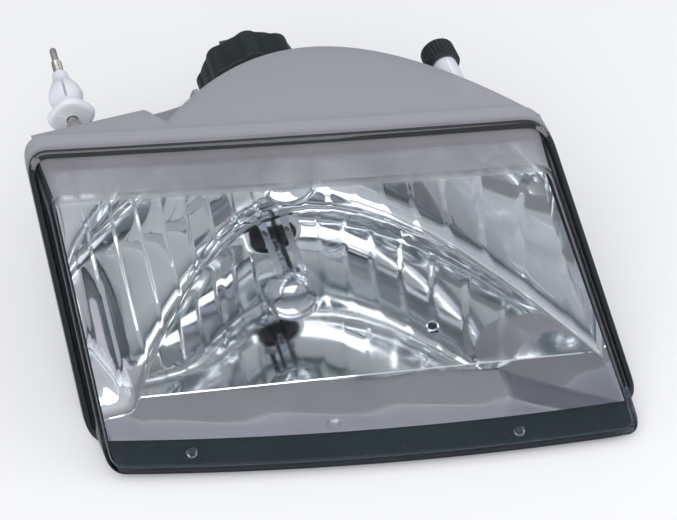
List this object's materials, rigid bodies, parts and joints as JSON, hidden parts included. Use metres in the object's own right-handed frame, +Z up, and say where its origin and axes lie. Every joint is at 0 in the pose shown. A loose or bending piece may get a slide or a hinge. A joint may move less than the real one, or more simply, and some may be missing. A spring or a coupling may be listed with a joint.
{
  "type": "car headlight assembly",
  "caption": "Raked rectangular car headlight: clear tray lens, fluted reflector, grey housing, replaceable bulb with retaining ring, screw adjusters and a ball pivot.",
  "frame": {"origin": "centre of the flat rear end of the pivot ball stud, the lamp's fixed mounting point", "axes": "-Y is the way the lamp shines, +Y points into the car, +X is the inboard end, +Z is up"},
  "size_m": [0.33, 0.3306, 0.146],
  "materials": {
    "housing_plastic": "moulded grey plastic, satin",
    "reflector_mirror": "vacuum-metallised, lacquered",
    "lens_clear": "clear polycarbonate, frosted along the top wall",
    "seal_rubber": "dark sealing compound",
    "black_plastic": "moulded black plastic",
    "shield_chrome": "bright pressed sheet",
    "steel": "zinc-plated steel",
    "white_nylon": "natural white nylon",
    "bulb_quartz": "clear quartz glass",
    "tungsten": "drawn wire",
    "contact_brass": "tinned brass"
  },
  "bodies": {
    "lamp_body": {"housing": "housing_plastic", "reflector": "reflector_mirror", "lens": "lens_clear", "lens_seal": "seal_rubber", "lower_bezel": "black_plastic", "glare_shield": "shield_chrome", "shield_rivet_1": "steel", "shield_rivet_2": "steel", "outboard_adjuster_washer": "steel", "inboard_adjuster_sleeve": "white_nylon", "pivot_socket": "white_nylon", "vent_cap": "seal_rubber"},
    "bulb": {"bulb_base": "black_plastic", "bulb_glass": "bulb_quartz", "filament_supports": "tungsten", "low_beam_filament": "tungsten", "high_beam_filament": "tungsten", "bulb_terminal_1": "contact_brass", "bulb_terminal_2": "contact_brass", "bulb_terminal_3": "contact_brass", "bulb_seal_ring": "seal_rubber"},
    "ring": {"retaining_ring": "black_plastic"},
    "outboard_screw": {"outboard_adjuster_screw": "steel"},
    "outboard_nut": {"outboard_adjuster_nut": "white_nylon"},
    "inboard_knob": {"inboard_adjuster_knob": "black_plastic"},
    "inboard_stud": {"inboard_adjuster_stud": "steel"},
    "pivot_stud": {"pivot_ball_stud": "steel"}
  },
  "joints": [
    {"name": "bulb_withdrawal", "type": "slide", "parent": "lamp_body", "child": "bulb", "axis": [0, 1, 0], "range_m": [0, 0.085]},
    {"name": "ring_turn", "type": "hinge", "parent": "bulb", "child": "ring", "pos_m": [-0.111, 0.06, 0.0475], "axis": [0, 1, 0], "range_deg": [0, 40]},
    {"name": "outboard_screw_turn", "type": "hinge", "parent": "lamp_body", "child": "outboard_screw", "pos_m": [-0.235, 0, 0.101], "axis": [0, 1, 0], "range_deg": [-2160, 1200]},
    {"name": "outboard_nut_travel", "type": "slide", "parent": "lamp_body", "child": "outboard_nut", "axis": [0, 1, 0], "range_m": [-0.005, 0.009]},
    {"name": "inboard_knob_turn", "type": "hinge", "parent": "lamp_body", "child": "inboard_knob", "pos_m": [-0.0035, 0, 0.096], "axis": [0, 1, 0], "range_deg": [-2880, 0]},
    {"name": "inboard_stud_travel", "type": "slide", "parent": "lamp_body", "child": "inboard_stud", "axis": [0, 1, 0], "range_m": [0, 0.012]},
    {"name": "pivot_tilt", "type": "hinge", "parent": "lamp_body", "child": "pivot_stud", "pos_m": [0, -0.032, 0], "axis": [1, 0, 0], "range_deg": [-8, 8]}
  ],
  "couplings": [
    {"joint": "outboard_screw_turn", "follows": "outboard_nut_travel", "rad_per_m": -4188.8},
    {"joint": "inboard_knob_turn", "follows": "inboard_stud_travel", "rad_per_m": -4188.8}
  ]
}
